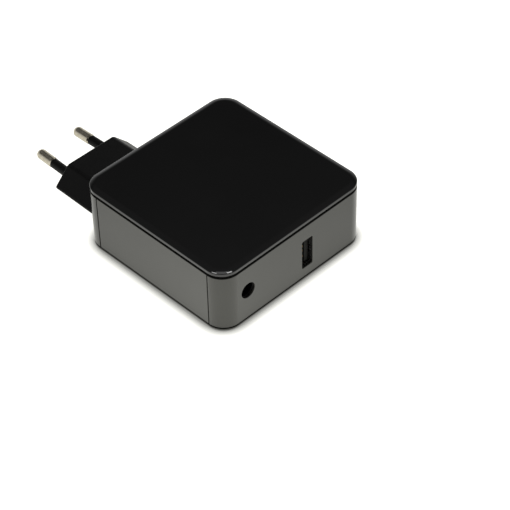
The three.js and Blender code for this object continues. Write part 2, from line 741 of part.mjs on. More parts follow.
function boardAssembly() {
  const primary = [11, 27.2];
  const output = [21, -28.2];
  const transformer = [10.6, 6.4, 0];
  const halves = [[foot, CORE.join - 0.05, "bottom"], [CORE.join + 0.05, CORE.height, "top"]];
  const [coreLower, coreUpper] = halves.map((half) => coreHalf(...half));
  const transistor = (name, sink, screw, [x, y], width, turnedRound) => {
    const set = group(
      [x, y, 0],
      part(name, tabTransistor(), MATERIAL.epoxy),
      part(sink, heatsink(width, 15.6), MATERIAL.aluminium),
      part(screw, heatsinkScrew(), MATERIAL.steel, [0, 0, 13.6]),
    );
    set.rotation.z = turnedRound ? Math.PI : 0;
    return set;
  };
  return group(
    [0, 0, LEVEL.boardTop],
    mainBoard(),
    part("fuse", radialBox(7, 4.2, 8, 5), MATERIAL.epoxy, [-26.2, 18.2, 0]),
    part("thermistor", standingDisc(4.2, 3.4), MATERIAL.greenCeramic, [-20.2, 18.6, 0]),
    part("x_capacitor", radialBox(13.4, 6, 12.5, 10), MATERIAL.yellowTape, [-10.6, 18.6, 0]),
    part("choke_core", chokeCore(), MATERIAL.ferrite, [-12.6, 8.8, 0]),
    part("choke_winding", chokeWinding(), MATERIAL.copper, [-12.6, 8.8, 0]),
    part("bridge_rectifier", bridgeRectifier(), MATERIAL.epoxy, [-23.4, 6.4, 0]),
    part("bulk_capacitor", lyingCan(7.8, 24), MATERIAL.capSleeve, [-13.2, -9.6, 0]),
    part("transformer_core_lower", coreLower, MATERIAL.ferrite, transformer),
    part("transformer_core_upper", coreUpper, MATERIAL.ferrite, transformer),
    part("transformer_winding", transformerWinding(), MATERIAL.yellowTape, transformer),
    transistor("primary_transistor", "primary_heatsink", "primary_heatsink_screw", primary, 24, false),
    transistor("output_rectifier", "output_heatsink", "output_heatsink_screw", output, 17, true),
    part("output_capacitor_1", standingCan(4.5, 13), MATERIAL.capSleeve, [13.6, -13.4, 0]),
    part("output_capacitor_2", standingCan(4.5, 13), MATERIAL.capSleeve, [22.6, -16.6, 0]),
    part("y_capacitor", standingDisc(3.6, 3.6), MATERIAL.blueCeramic, [26.4, 20.5, 0]),
    part("optocoupler", chip(4.6, 6.4, 3.6, [-1.27, 1.27]), MATERIAL.epoxy, [27, -4.6, 0]),
    part("controller_chip", chip(4.9, 3.9, 1.6, [-1.9, -0.63, 0.63, 1.9]), MATERIAL.epoxy, [21.6, 20.6, 0]),
  );
}

// ---------------------------------------------------------------- assembly

const SHEET = { width: 50, depth: 56 };
const sheet = (z0, thickness) => slabZ(roundedRectangle(SHEET.width, SHEET.depth, 2), z0, z0 + thickness, 2);

const charger = new THREE.Group();
charger.add(
  part("bottom_cover", bottomCover(), MATERIAL.caseBlack),
  part("rating_label", ratingLabel(), MATERIAL.label, [LABEL.x, LABEL.y, 0]),
  part("inner_frame", innerFrame(), MATERIAL.blackPlastic),
  part("front_band", frontBand(), MATERIAL.caseBlack),
  part("rear_band", rearBand(), MATERIAL.caseBlack),
  part("left_panel", sidePanel(-1), MATERIAL.caseBlack),
  part("right_panel", sidePanel(1), MATERIAL.caseBlack),
  part("top_cover", topCover(), MATERIAL.pianoBlack),
  part("insulation_sheet", sheet(2.4 + SEAT_GAP, 0.25), MATERIAL.film),
  part("heat_spreader", sheet(LEVEL.lidBottom - SEAT_GAP - 0.6, 0.6), MATERIAL.aluminium),
  ...plug(),
  usbPort(),
  dcJack(),
  boardAssembly(),
);

export default charger;
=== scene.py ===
"""The looks of a square wall charger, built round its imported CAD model.

Lengths are in millimetres unless a comment says otherwise. MM turns them into metres.
"""

import json
import math

import bmesh
import bpy
from mathutils import Matrix, Vector


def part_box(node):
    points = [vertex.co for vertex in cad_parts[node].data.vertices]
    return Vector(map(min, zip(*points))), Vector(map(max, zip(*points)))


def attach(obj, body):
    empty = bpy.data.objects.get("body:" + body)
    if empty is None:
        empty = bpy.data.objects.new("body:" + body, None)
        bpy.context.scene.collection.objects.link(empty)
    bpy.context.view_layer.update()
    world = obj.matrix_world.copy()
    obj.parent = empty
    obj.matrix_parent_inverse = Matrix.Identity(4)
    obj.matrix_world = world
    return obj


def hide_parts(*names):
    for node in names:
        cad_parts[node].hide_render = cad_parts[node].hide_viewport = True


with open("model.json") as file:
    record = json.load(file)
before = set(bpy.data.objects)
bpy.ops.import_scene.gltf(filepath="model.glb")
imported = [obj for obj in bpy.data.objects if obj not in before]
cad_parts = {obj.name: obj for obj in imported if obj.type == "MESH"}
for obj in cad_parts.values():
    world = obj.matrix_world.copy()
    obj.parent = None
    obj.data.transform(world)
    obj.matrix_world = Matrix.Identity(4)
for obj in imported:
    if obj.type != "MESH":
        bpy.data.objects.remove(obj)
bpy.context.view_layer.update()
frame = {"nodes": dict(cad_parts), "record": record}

MM = 0.001
BODY = "housing"


# ---------------------------------------------------------------- camera

def make_camera():
    """The photograph's viewpoint: high over the front left corner, with a long lens."""
    azimuth, elevation, roll = (math.radians(v) for v in (-44.074, 43.338, -1.403))
    back = Vector((
        math.sin(azimuth) * math.cos(elevation),
        -math.cos(azimuth) * math.cos(elevation),
        math.sin(elevation),
    ))
    right = (-back).cross(Vector((0, 0, 1))).normalized()
    up = right.cross(-back)
    turned_right = math.cos(roll) * right + math.sin(roll) * up
    turned_up = math.cos(roll) * up - math.sin(roll) * right
    data = bpy.data.cameras.new("camera")
    data.sensor_width = 36
    data.lens = 139.31
    data.clip_start, data.clip_end = 0.01, 20
    camera = bpy.data.objects.new("camera", data)
    rotation = Matrix((turned_right, turned_up, back)).transposed()
    camera.matrix_world = Matrix.Translation(Vector((-351.2, -377.69, 477.71)) * MM) @ rotation.to_4x4()
    bpy.context.scene.collection.objects.link(camera)
    bpy.context.scene.camera = camera


make_camera()


# ---------------------------------------------------------------- sizes read from the frame

def limits(node):
    """The node's box in millimetres."""
    low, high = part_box(node)
    return low / MM, high / MM


LID = limits("top_cover")
BASE = limits("bottom_cover")
BAND = limits("front_band")
REAR = limits("rear_band")
NECK = limits("plug_neck")
SHELL = limits("usb_shell")
JACK = limits("dc_jack_body")
JACK_PIN = limits("dc_jack_centre_pin")
LABEL = limits("rating_label")

HALF = LID[1].x
CORNER = 7.2
TRIM = 1.7
TRIM_EDGE = 0.14  # radius of the small rounding on the trim's edges
LID_BOTTOM = 25.35
BASE_TOP = 0.85
FRAME = {"side": 66.0, "corner": 5.2, "wall": 1.4}
RIDGE = {"side": 63.0, "corner": 3.7, "wall": 1.2}  # the locating ridge inside the lid and the base
POSTS = [(x, y) for x in (-28, 28) for y in (-12, 12)]
RECESS_CENTRE = (0, 16)

PORT = ((SHELL[0].x + SHELL[1].x) / 2, (SHELL[0].z + SHELL[1].z) / 2)
PORT_OPEN = (5.1, 12.5)
PORT_SHELL = (5.7, 13.1)
PORT_ROOM = (6.0, 13.4)  # the space left for the shell in the trim and the frame
SOCKET = ((JACK_PIN[0].x + JACK_PIN[1].x) / 2, (JACK_PIN[0].z + JACK_PIN[1].z) / 2)
SOCKET_BORE = 3.1
SOCKET_GAP = 0.2
POCKET_FRONT = -34.2  # the two connectors come this near to the trim's front face
POCKET_BACK = -30

NECK_AT = ((NECK[0].x + NECK[1].x) / 2, (NECK[0].z + NECK[1].z) / 2)
NECK_HEIGHT, NECK_WIDTH = 13.7, 35.3
NECK_LENGTH, NECK_DRAFT = 17.5, 0.012
PIN_PITCH, PIN_TIP_PITCH, PIN_LENGTH, PIN_BARE = 18.6, 17.5, 19.0, 8.5
PIN_TILT = math.atan2((PIN_PITCH - PIN_TIP_PITCH) / 2, PIN_LENGTH)
PIN_RADIUS, SHANK_RADIUS, SLEEVE_RADIUS = 2.0, 1.35, 1.85
PIN_TAIL, SLEEVE_TAIL = -26, -5


# ---------------------------------------------------------------- mesh tools

def mesh_object(name, verts, faces):
    """A closed mesh from points in millimetres, its faces turned outwards."""
    mesh = bpy.data.meshes.new(name)
    mesh.from_pydata([[c * MM for c in v] for v in verts], [], faces)
    work = bmesh.new()
    work.from_mesh(mesh)
    bmesh.ops.remove_doubles(work, verts=work.verts, dist=1e-7)
    bmesh.ops.recalc_face_normals(work, faces=work.faces)
    work.to_mesh(mesh)
    work.free()
    made = bpy.data.objects.new(name, mesh)
    bpy.context.scene.collection.objects.link(made)
    return made


def merged(name, pieces):
    """Several objects joined into one, as separate shells of one mesh."""
    work = bmesh.new()
    for piece in pieces:
        work.from_mesh(piece.data)
        bpy.data.objects.remove(piece)
    mesh = bpy.data.meshes.new(name)
    work.to_mesh(mesh)
    work.free()
    made = bpy.data.objects.new(name, mesh)
    bpy.context.scene.collection.objects.link(made)
    return made


def boolean(piece, tool, operation="DIFFERENCE"):
    """piece cut by, or joined with, tool, which is used up."""
    step = piece.modifiers.new("cut", "BOOLEAN")
    step.object = tool
    step.operation = operation
    step.solver = "EXACT"
    settled(piece)
    bpy.data.objects.remove(tool)
    return piece


def settled(piece):
    """piece with its modifiers made part of its mesh."""
    graph = bpy.context.evaluated_depsgraph_get()
    mesh = bpy.data.meshes.new_from_object(piece.evaluated_get(graph))
    piece.modifiers.clear()
    piece.data = mesh
    return piece


def rounded(width, depth, radius, steps=16, centre=(0, 0)):
    """The corners' points of a rectangle with rounded corners, anticlockwise."""
    points = []
    for k, (sx, sy) in enumerate(((1, 1), (-1, 1), (-1, -1), (1, -1))):
        for i in range(steps + 1):
            angle = (k + i / steps) * math.pi / 2
            x = sx * (width / 2 - radius) + radius * math.cos(angle)
            y = sy * (depth / 2 - radius) + radius * math.sin(angle)
            points.append((centre[0] + x, centre[1] + y))
    return points


def loft(name, rings, closed=False):
    """A skin over rings of equal length. Open stacks get a cap at each end."""
    count = len(rings[0])
    verts = [p for ring in rings for p in ring]
    faces = []
    spans = len(rings) if closed else len(rings) - 1
    for r in range(spans):
        here, there = r * count, ((r + 1) % len(rings)) * count
        for i in range(count):
            j = (i + 1) % count
            faces.append((here + i, here + j, there + j, there + i))
    if not closed:
        faces.append(tuple(range(count)))
        faces.append(tuple((len(rings) - 1) * count + i for i in range(count)))
    return mesh_object(name, verts, faces)


def plate(name, side, corner, profile, steps=16):
    """A square plate: profile gives (inset, z) from one cap to the other."""
    rings = []
    for inset, z in profile:
        outline = rounded(side - 2 * inset, side - 2 * inset, max(corner - inset, 0.05), steps)
        rings.append([(x, y, z) for x, y in outline])
    return loft(name, rings)


def hoop(name, side, corner, wall, z0, z1, steps=12):
    """A square ring with a wall of even thickness."""
    profile = ((0, z0), (0, z1), (wall, z1), (wall, z0))
    rings = []
    for inset, z in profile:
        outline = rounded(side - 2 * inset, side - 2 * inset, corner - inset, steps)
        rings.append([(x, y, z) for x, y in outline])
    return loft(name, rings, closed=True)


def box(name, x, y, z):
    """A block between two values on each axis, for cutting and for small ribs."""
    verts = [(a, b, c) for c in z for b in y for a in x]
    faces = ((0, 2, 3, 1), (4, 5, 7, 6), (0, 1, 5, 4), (2, 6, 7, 3), (0, 4, 6, 2), (1, 3, 7, 5))
    return mesh_object(name, verts, faces)


def prism(name, outline, axis, start, end, ease=0.0, ease_steps=3):
    """An outline drawn along an axis. With ease, its end edges are rounded by that radius."""
    def ring(inset, level):
        points = shrink(outline, inset) if inset else outline
        if axis == "Z":
            return [(a, b, level) for a, b in points]
        if axis == "Y":
            return [(a, level, b) for a, b in points]
        return [(level, a, b) for a, b in points]

    if not ease:
        return loft(name, [ring(0, start), ring(0, end)])
    turn = [i / ease_steps * math.pi / 2 for i in range(ease_steps + 1)]
    rings = [ring(ease * (1 - math.sin(t)), start + ease * (1 - math.cos(t))) for t in turn]
    rings += [ring(ease * (1 - math.sin(t)), end - ease * (1 - math.cos(t))) for t in reversed(turn)]
    return loft(name, rings)


def shrink(outline, inset):
    """An anticlockwise outline moved inwards along its corner normals."""
    count = len(outline)
    points = []
    for i, (x, y) in enumerate(outline):
        before, after = Vector(outline[i - 1]), Vector(outline[(i + 1) % count])
        here = Vector((x, y))
        one, two = (here - before), (after - here)
        if one.length < 1e-6 or two.length < 1e-6:
            one = two = after - before
        n1, n2 = Vector((one.y, -one.x)).normalized(), Vector((two.y, -two.x)).normalized()
        middle = (n1 + n2).normalized()
        reach = inset / max(middle.dot(n1), 0.5)
        points.append((x - middle.x * reach, y - middle.y * reach))
    return points


def turned(name, profile, steps=48):
    """A body of revolution about +Y, from (radius, y) points. Radius 0 closes it on the axis."""
    verts, faces, rings = [], [], []
    for radius, y in profile:
        if radius == 0:
            rings.append([len(verts)])
            verts.append((0, y, 0))
            continue
        rings.append(list(range(len(verts), len(verts) + steps)))
        for i in range(steps):
            angle = 2 * math.pi * i / steps
            verts.append((radius * math.cos(angle), y, radius * math.sin(angle)))
    for here, there in zip(rings, rings[1:]):
        for i in range(steps):
            j = (i + 1) % steps
            quad = [here[i % len(here)], here[j % len(here)]]
            quad += [there[j % len(there)], there[i % len(there)]]
            quad = [v for k, v in enumerate(quad) if v != quad[k - 1]]
            if len(quad) > 2:
                faces.append(quad)
    return mesh_object(name, verts, faces)


def placed(piece, matrix):
    """piece with its mesh moved by a matrix whose translation is in millimetres."""
    matrix = matrix.copy()
    matrix.translation *= MM
    piece.data.transform(matrix)
    return piece


def at(x, y, z):
    """The shift to a point in millimetres."""
    return Matrix.Translation((x, y, z))


def cylinder_y(name, radius, x, z, y0, y1, steps):
    """A plain round cutter along Y."""
    return placed(turned(name, ((0, y0), (radius, y0), (radius, y1), (0, y1)), steps), at(x, 0, z))


def post(name, radius, x, y, z0, z1, ease=0.15, steps=32):
    """A round post along Z, its free end z1 chamfered."""
    profile = ((0, z0), (radius, z0), (radius, z1 - ease), (radius - ease, z1), (0, z1))
    return placed(turned(name, profile, steps), at(x, y, 0) @ Matrix.Rotation(math.pi / 2, 4, "X"))


def finished(piece, slot, node, body=BODY, bevel=0.0, segments=3, angle=32):
    """Bevel, shading and material, and the piece's place in the frame."""
    if bevel:
        step = piece.modifiers.new("bevel", "BEVEL")
        step.width = bevel * MM
        step.segments = segments
        step.limit_method = "ANGLE"
        step.angle_limit = math.radians(angle)
        step.use_clamp_overlap = True
        step.miter_outer = "MITER_ARC"
        settled(piece)
    mesh = piece.data
    mesh.polygons.foreach_set("use_smooth", [True] * len(mesh.polygons))
    mesh.set_sharp_from_angle(angle=math.radians(angle))
    step = piece.modifiers.new("normals", "WEIGHTED_NORMAL")
    step.keep_sharp = True
    step.weight = 100
    mesh.materials.clear()
    mesh.materials.append(LOOK[slot])
    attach(piece, body)
    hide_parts(node)
    return piece


# ---------------------------------------------------------------- materials

class Shader:
    """A material's node tree: a Principled shader with noise-driven colour, roughness and relief."""

    def __init__(self, name, roughness, metallic=0.0, specular=0.5, tint=None):
        self.material = bpy.data.materials.new(name)
        self.material.use_nodes = True
        self.tree = self.material.node_tree
        self.shader = self.tree.nodes["Principled BSDF"]
        self.set("Metallic", metallic)
        self.set("Roughness", roughness)
        self.set("Specular IOR Level", specular)
        if tint:
            self.set("Specular Tint", (*tint, 1))
        self.place = self.add("ShaderNodeTexCoord").outputs["Object"]

    def set(self, socket, value):
        self.shader.inputs[socket].default_value = value

    def add(self, kind, **values):
        node = self.tree.nodes.new(kind)
        for key, value in values.items():
            setattr(node, key, value)
        return node

    def link(self, source, target):
        self.tree.links.new(source, target)

    def stretched(self, stretch):
        """The object's own coordinates, scaled on each axis."""
        if stretch is None:
            return self.place
        node = self.add("ShaderNodeMapping")
        self.link(self.place, node.inputs["Vector"])
        node.inputs["Scale"].default_value = stretch
        return node.outputs["Vector"]

    def noise(self, size, detail=3, stretch=None, rough=0.5):
        """Noise whose features are about size millimetres across."""
        node = self.add("ShaderNodeTexNoise")
        node.inputs["Scale"].default_value = 1 / (size * MM)
        node.inputs["Detail"].default_value = detail
        node.inputs["Roughness"].default_value = rough
        self.link(self.stretched(stretch), node.inputs["Vector"])
        return node.outputs["Fac"]

    def wave(self, size, direction, distortion=0.4, profile="SIN"):
        """Parallel bands across a direction, about size millimetres apart."""
        node = self.add("ShaderNodeTexWave", wave_type="BANDS", bands_direction=direction)
        node.wave_profile = profile
        node.inputs["Scale"].default_value = 0.314 / (size * MM)
        node.inputs["Distortion"].default_value = distortion
        node.inputs["Detail"].default_value = 2
        self.link(self.place, node.inputs["Vector"])
        return node.outputs["Fac"]

    def spread(self, source, low, high, start=0.3, end=0.7):
        """source's range from start to end, mapped to low and high."""
        node = self.add("ShaderNodeMapRange")
        for key, value in (("From Min", start), ("From Max", end), ("To Min", low), ("To Max", high)):
            node.inputs[key].default_value = value
        self.link(source, node.inputs["Value"])
        return node.outputs["Result"]

    def times(self, one, two):
        node = self.add("ShaderNodeMath", operation="MULTIPLY")
        self.link(one, node.inputs[0])
        self.link(two, node.inputs[1])
        return node.outputs["Value"]

    def colour(self, source, dark, light, start=0.3, end=0.7):
        node = self.add("ShaderNodeValToRGB")
        node.color_ramp.elements[0].position = start
        node.color_ramp.elements[0].color = (*dark, 1)
        node.color_ramp.elements[1].position = end
        node.color_ramp.elements[1].color = (*light, 1)
        self.link(source, node.inputs["Fac"])
        self.link(node.outputs["Color"], self.shader.inputs["Base Color"])
        return self

    def roughness(self, source, low, high):
        self.link(self.spread(source, low, high), self.shader.inputs["Roughness"])
        return self

    def relief(self, *layers):
        """layers are (height source, depth in micrometres)."""
        normal = None
        for source, depth in layers:
            node = self.add("ShaderNodeBump")
            node.inputs["Strength"].default_value = 1
            node.inputs["Distance"].default_value = depth * 1e-6
            self.link(source, node.inputs["Height"])
            if normal is not None:
                self.link(normal, node.inputs["Normal"])
            normal = node.outputs["Normal"]
        self.link(normal, self.shader.inputs["Normal"])
        return self


def lid_gloss():
    """Polished black acrylic: mirror-like, with the faint ripple of a moulded sheet."""
    s = Shader("lid_gloss", 0.08, specular=0.55)
    s.colour(s.noise(35, 2), (0.0032, 0.0032, 0.0032), (0.0048, 0.0048, 0.0047))
    s.roughness(s.noise(9, 4), 0.055, 0.09)
    return s.relief((s.noise(14, 2), 3.0), (s.noise(0.5, 2), 0.12)).material


def case_gloss():
    """The case's semi-gloss black, a little warm, with a fine orange peel."""
    s = Shader("case_gloss", 0.2, tint=(1.0, 1.0, 0.94))
    s.colour(s.noise(22, 3), (0.023, 0.023, 0.0205), (0.029, 0.029, 0.026))
    s.roughness(s.noise(6, 4), 0.16, 0.22)
    return s.relief((s.noise(1.6, 3), 0.5), (s.noise(0.25, 2), 0.12)).material


def moulded_black():
    """Black nylon moulding with a fine spark-eroded grain."""
    s = Shader("moulded_black", 0.38, specular=0.12)
    s.colour(s.noise(8, 4), (0.0010, 0.0010, 0.0009), (0.0018, 0.0018, 0.0016))
    s.roughness(s.noise(1.2, 5), 0.38, 0.5)
    return s.relief((s.noise(0.16, 3, rough=0.7), 1.2)).material


def nickel():
    """Turned brass under nickel: faint rings round the pin and a warm tone."""
    s = Shader("nickel_plate", 0.2, metallic=1.0)
    s.colour(s.noise(1.4, 4), (0.42, 0.385, 0.30), (0.56, 0.52, 0.43))
    s.roughness(s.noise(0.7, 3), 0.18, 0.3)
    return s.relief((s.wave(0.12, "Y"), 0.35), (s.noise(0.3, 3), 0.4)).material


def brushed(name, dark, light, low, high, stretch, grain=0.25):
    """Rolled or plated sheet with a fine directional grain."""
    s = Shader(name, low, metallic=1.0)
    lines = s.noise(grain, 4, stretch=stretch, rough=0.7)
    s.colour(lines, dark, light)
    s.roughness(s.noise(grain * 2, 3, stretch=stretch), low, high)
    return s.relief((lines, 0.6)).material


def plastic(name, dark, light, low=0.35, high=0.5, patch=2.0, grain=0.15, depth=1.0, specular=0.5):
    """A plain moulded or dipped surface with mottling and a fine grain."""
    s = Shader(name, low, specular=specular)
    s.colour(s.noise(patch, 4), dark, light)
    s.roughness(s.noise(patch / 2, 3), low, high)
    return s.relief((s.noise(grain, 3), depth)).material


def board():
    """Green solder mask over glass cloth: a faint weave, and paler patches where copper shows through."""
    s = Shader("solder_mask", 0.35)
    s.colour(s.noise(3.5, 1), (0.008, 0.055, 0.022), (0.018, 0.13, 0.05), 0.47, 0.53)
    s.roughness(s.noise(1.5, 3), 0.28, 0.4)
    return s.relief((s.wave(0.5, "X", 0.1), 1.0), (s.wave(0.5, "Y", 0.1), 1.0)).material


def winding():
    """Copper turns side by side."""
    s = Shader("enamelled_copper", 0.25, metallic=1.0)
    s.colour(s.noise(0.9, 3), (0.42, 0.13, 0.045), (0.72, 0.27, 0.10))
    s.roughness(s.noise(0.6, 3), 0.2, 0.35)
    return s.relief((s.wave(0.45, "Z", 0.2), 60.0)).material


def sleeve():
    """Shrink sleeve on a capacitor: dark blue film, slightly wrinkled."""
    s = Shader("shrink_sleeve", 0.3)
    s.colour(s.noise(3, 3), (0.007, 0.009, 0.016), (0.014, 0.018, 0.032))
    s.roughness(s.noise(1.2, 3), 0.22, 0.36)
    return s.relief((s.noise(1.1, 3), 4.0)).material


def tape():
    """Yellow polyester tape wound in overlapping turns."""
    s = Shader("polyester_tape", 0.3)
    s.colour(s.noise(2.4, 4), (0.55, 0.31, 0.035), (0.78, 0.5, 0.08))
    s.roughness(s.noise(1.0, 3), 0.22, 0.4)
    return s.relief((s.wave(2.6, "Z", 0.3, "SAW"), 25.0), (s.noise(0.8, 3), 3.0)).material


LOOK = {
    "piano_black": lid_gloss(),
    "case_black": case_gloss(),
    "black_plastic": moulded_black(),
    "socket_plastic": plastic("socket_plastic", (0.006, 0.0062, 0.0048), (0.010, 0.0102, 0.008),
                              0.5, 0.62, 1.5, specular=0.12),
    "label_film": plastic("label_film", (0.02, 0.02, 0.022), (0.028, 0.028, 0.03),
                          0.4, 0.5, 6, 0.3, 0.6),
    "nickel": nickel(),
    "steel": brushed("tinned_steel", (0.36, 0.37, 0.37), (0.52, 0.52, 0.51),
                     0.22, 0.36, (1, 0.12, 1)),
    "gold_contact": brushed("gold_flash", (0.34, 0.23, 0.085), (0.50, 0.36, 0.16),
                            0.34, 0.46, (1, 0.1, 1), 0.12),
    "heatsink_aluminium": brushed("mill_aluminium", (0.44, 0.45, 0.46), (0.62, 0.63, 0.64),
                                  0.3, 0.45, (0.08, 1, 1)),
    "board": board(),
    "ferrite": plastic("ferrite", (0.02, 0.02, 0.021), (0.036, 0.036, 0.038),
                       0.5, 0.7, 1.0, 0.12, 6.0),
    "winding": winding(),
    "tape": tape(),
    "epoxy": plastic("moulding_compound", (0.009, 0.009, 0.01), (0.017, 0.017, 0.018),
                     0.45, 0.6, 1.0, 0.1, 3.0),
    "film_capacitor": plastic("capacitor_box", (0.50, 0.32, 0.05), (0.64, 0.43, 0.08), 0.35, 0.5, 3.0),
    "blue_ceramic": plastic("blue_lacquer", (0.02, 0.09, 0.30), (0.035, 0.14, 0.42),
                            0.25, 0.4, 1.6, 0.5, 6.0),
    "green_ceramic": plastic("green_lacquer", (0.02, 0.07, 0.03), (0.035, 0.12, 0.05),
                             0.3, 0.45, 1.6, 0.5, 6.0),
    "can_sleeve": sleeve(),
    "insulating_film": plastic("milky_film", (0.62, 0.59, 0.50), (0.74, 0.71, 0.62),
                               0.3, 0.45, 5.0, 0.4, 1.0),
    "red_wire": plastic("red_insulation", (0.26, 0.02, 0.015), (0.38, 0.035, 0.025), 0.3, 0.45, 1.2),
    "blue_wire": plastic("blue_insulation", (0.015, 0.04, 0.25), (0.03, 0.07, 0.38), 0.3, 0.45, 1.2),
}


# ---------------------------------------------------------------- housing

def arc(radius, steps):
    """(inset, z) points of a rounded lower edge, from the flat underside out to the side."""
    turn = [i / steps * math.pi / 2 for i in range(steps + 1)]
    return [(radius - radius * math.sin(t), radius - radius * math.cos(t)) for t in turn]


def crown(top, dome=6.0, edge=0.35, turn=21.5, steps=10):
    """(inset, z) points of the lid's edge, which falls away on a wide curve and then a tight one."""
    turn = math.radians(turn)
    foot = edge * (1 - math.sin(turn))
    points = []
    for i in range(steps + 1):
        t = turn * i / steps
        points.append((foot + dome * (math.sin(turn) - math.sin(t)), top - dome * (1 - math.cos(t))))
    drop = dome * (1 - math.cos(turn))
    for i in range(1, steps + 1):
        t = turn + (math.pi / 2 - turn) * i / steps
        points.append((edge * (1 - math.sin(t)), top - drop - edge * (math.cos(turn) - math.cos(t))))
    return points


def lid():
    """The glossy lid, with its ridge and posts."""
    top = LID[1].z
    profile = crown(top) + [(0, LID_BOTTOM + 0.1), (0.03, LID_BOTTOM + 0.03), (0.1, LID_BOTTOM)]
    parts = [plate("lid_plate", 2 * HALF, CORNER, profile)]
    parts.append(hoop("lid_ridge", *RIDGE.values(), 23.4, LID_BOTTOM + 0.1))
    parts += [post("lid_post", 2.2, x, y, LID_BOTTOM + 0.1, LID[0].z) for x, y in POSTS]
    return finished(merged("lid", parts), "piano_black", "top_cover")


def base():
    """The bottom cover, with the label's recess, its ridge, posts and ribs."""
    profile = arc(0.4, 6)
    profile += [(0, BASE_TOP - 0.08), (0.02, BASE_TOP - 0.02), (0.08, BASE_TOP)]
    floor = plate("base_plate", 2 * HALF, CORNER, profile)
    outline = rounded(50, 22, 2, 10, RECESS_CENTRE)
    floor = boolean(floor, prism("recess", outline, "Z", -1, 0.3))
    foot = BASE_TOP - 0.1
    parts = [floor, hoop("base_ridge", *RIDGE.values(), foot, 3.2)]
    parts += [post("base_post", 2.5, x, y, foot, BASE[1].z) for x, y in POSTS]
    parts += [box("rib", (x - 0.6, x + 0.6), (-30.8, 30.8), (foot, 2.4)) for x in (-18, 0, 18)]
    return finished(merged("base", parts), "case_black", "bottom_cover")


def label():
    """A blank film in the recess underneath."""
    outline = rounded(LABEL[1].x - LABEL[0].x, LABEL[1].y - LABEL[0].y, 1.8, 10, RECESS_CENTRE)
    film = prism("label", outline, "Z", LABEL[0].z, LABEL[1].z, 0.05, 2)
    return finished(film, "label_film", "rating_label")


def band_sweep(name, ends_y, side, steps=24):
    """A band that runs along one face and round its two corners, to ends_y on the other two faces."""
    middle = HALF - CORNER
    first = math.asin(max(0, (abs(ends_y) - middle) / CORNER))
    quarter = []
    for i in range(steps + 1):
        t = first + (math.pi / 2 - first) * i / steps
        nx, ny = math.cos(t), math.sin(t)
        quarter.append((middle + CORNER * nx, middle + CORNER * ny, nx, ny))
    if first == 0:
        quarter.insert(0, (HALF, abs(ends_y), 1, 0))
    path = [(-x, -y, -nx, -ny) for x, y, nx, ny in quarter]
    path += [(x, -y, nx, -ny) for x, y, nx, ny in reversed(quarter)]
    rings = []
    for x, y, nx, ny in path:
        rings.append([
            (side * (x - nx * depth), side * (y - ny * depth), z)
            for depth, z in ((0, BAND[0].z), (0, BAND[1].z), (TRIM, BAND[1].z), (TRIM, BAND[0].z))
        ])
    return loft(name, rings)


def front_band():
    """The trim's front part, with the two openings and the pockets that the connectors sit in."""
    band = band_sweep("front_band_skin", BAND[1].y, 1)
    pocket = (POCKET_FRONT, POCKET_BACK)
    low, high = JACK
    for cutter in (
        prism("port_hole", rounded(*PORT_OPEN, 0.5, 8, PORT), "Y", -HALF - 1, POCKET_BACK),
        prism("port_pocket", rounded(*PORT_ROOM, 0.7, 4, PORT), "Y", *pocket),
        cylinder_y("socket_hole", SOCKET_BORE, *SOCKET, -HALF - 1, POCKET_BACK, 64),
        box("socket_pocket", (low.x - SOCKET_GAP, high.x + SOCKET_GAP), pocket,
            (low.z - SOCKET_GAP, high.z + SOCKET_GAP)),
    ):
        band = boolean(band, cutter)
    return finished(band, "case_black", "front_band", bevel=TRIM_EDGE)


def hexagon(growth=0.0, edge=1.0, steps=8):
    """The neck's outline about its own centre, each corner a short curve."""
    half, tip = NECK_HEIGHT / 2 + growth, NECK_WIDTH / 2 + growth
    flat = NECK_WIDTH / 2 - NECK_HEIGHT / 2 + growth * math.tan(math.pi / 8)
    corners = [(tip, 0), (flat, half), (-flat, half), (-tip, 0), (-flat, -half), (flat, -half)]
    points = []
    for i, corner in enumerate(corners):
        here = Vector(corner)
        before = here + (Vector(corners[i - 1]) - here).normalized() * edge
        after = here + (Vector(corners[(i + 1) % 6]) - here).normalized() * edge
        for k in range(steps + 1):
            t = k / steps
            points.append(tuple((1 - t) ** 2 * before + 2 * t * (1 - t) * here + t * t * after))
    return points


def rear_band():
    """The trim's rear part, with a hole a little larger than the neck."""
    band = band_sweep("rear_band_skin", REAR[0].y, -1)
    outline = [(NECK_AT[0] + a, NECK_AT[1] + b) for a, b in hexagon(0.35)]
    band = boolean(band, prism("neck_hole", outline, "Y", 20, HALF + 5))
    return finished(band, "case_black", "rear_band", bevel=TRIM_EDGE)


def side_panel(node):
    """A flat panel of the trim."""
    low, high = limits(node)
    panel = box(node + "_skin", (low.x, high.x), (low.y, high.y), (low.z, high.z))
    return finished(panel, "case_black", node, bevel=TRIM_EDGE)


# ---------------------------------------------------------------- plug

def pin_matrix(side):
    """A pin's place: its axis along +Y from the neck's face, tilted towards the other pin."""
    place = at(NECK_AT[0] + side * PIN_PITCH / 2, NECK[1].y, NECK_AT[1])
    return place @ Matrix.Rotation(side * PIN_TILT, 4, "Z")


